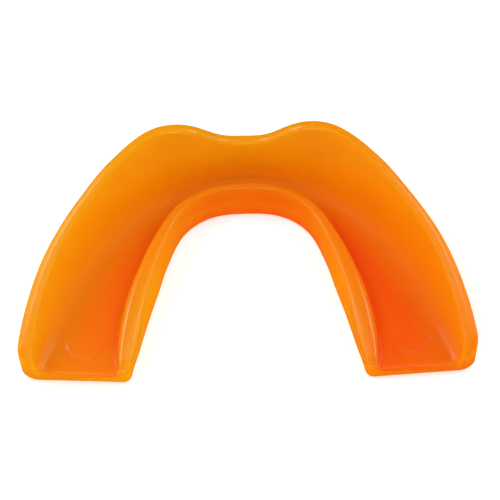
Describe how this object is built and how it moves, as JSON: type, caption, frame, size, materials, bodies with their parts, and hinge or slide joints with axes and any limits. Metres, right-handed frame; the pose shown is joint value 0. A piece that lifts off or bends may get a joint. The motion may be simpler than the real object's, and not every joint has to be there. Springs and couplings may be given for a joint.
{
  "type": "mouthguard",
  "caption": "U-shaped one-piece mouthguard tray: flat bite floor, low tongue-side wall and taller outward-leaning lip flange with a rounded notch at the midline.",
  "frame": {"origin": "centre of the bounding box on the flat underside, on the mirror plane, in the open space between the legs", "axes": "+X across the mouth, +Y towards the front teeth and the notch, +Z from the underside up into the tooth trough"},
  "size_m": [0.0618, 0.0338, 0.0128],
  "materials": {
    "eva_orange": "gloss"
  },
  "bodies": {
    "root": {"mouthguard_tray": "eva_orange"}
  },
  "joints": []
}
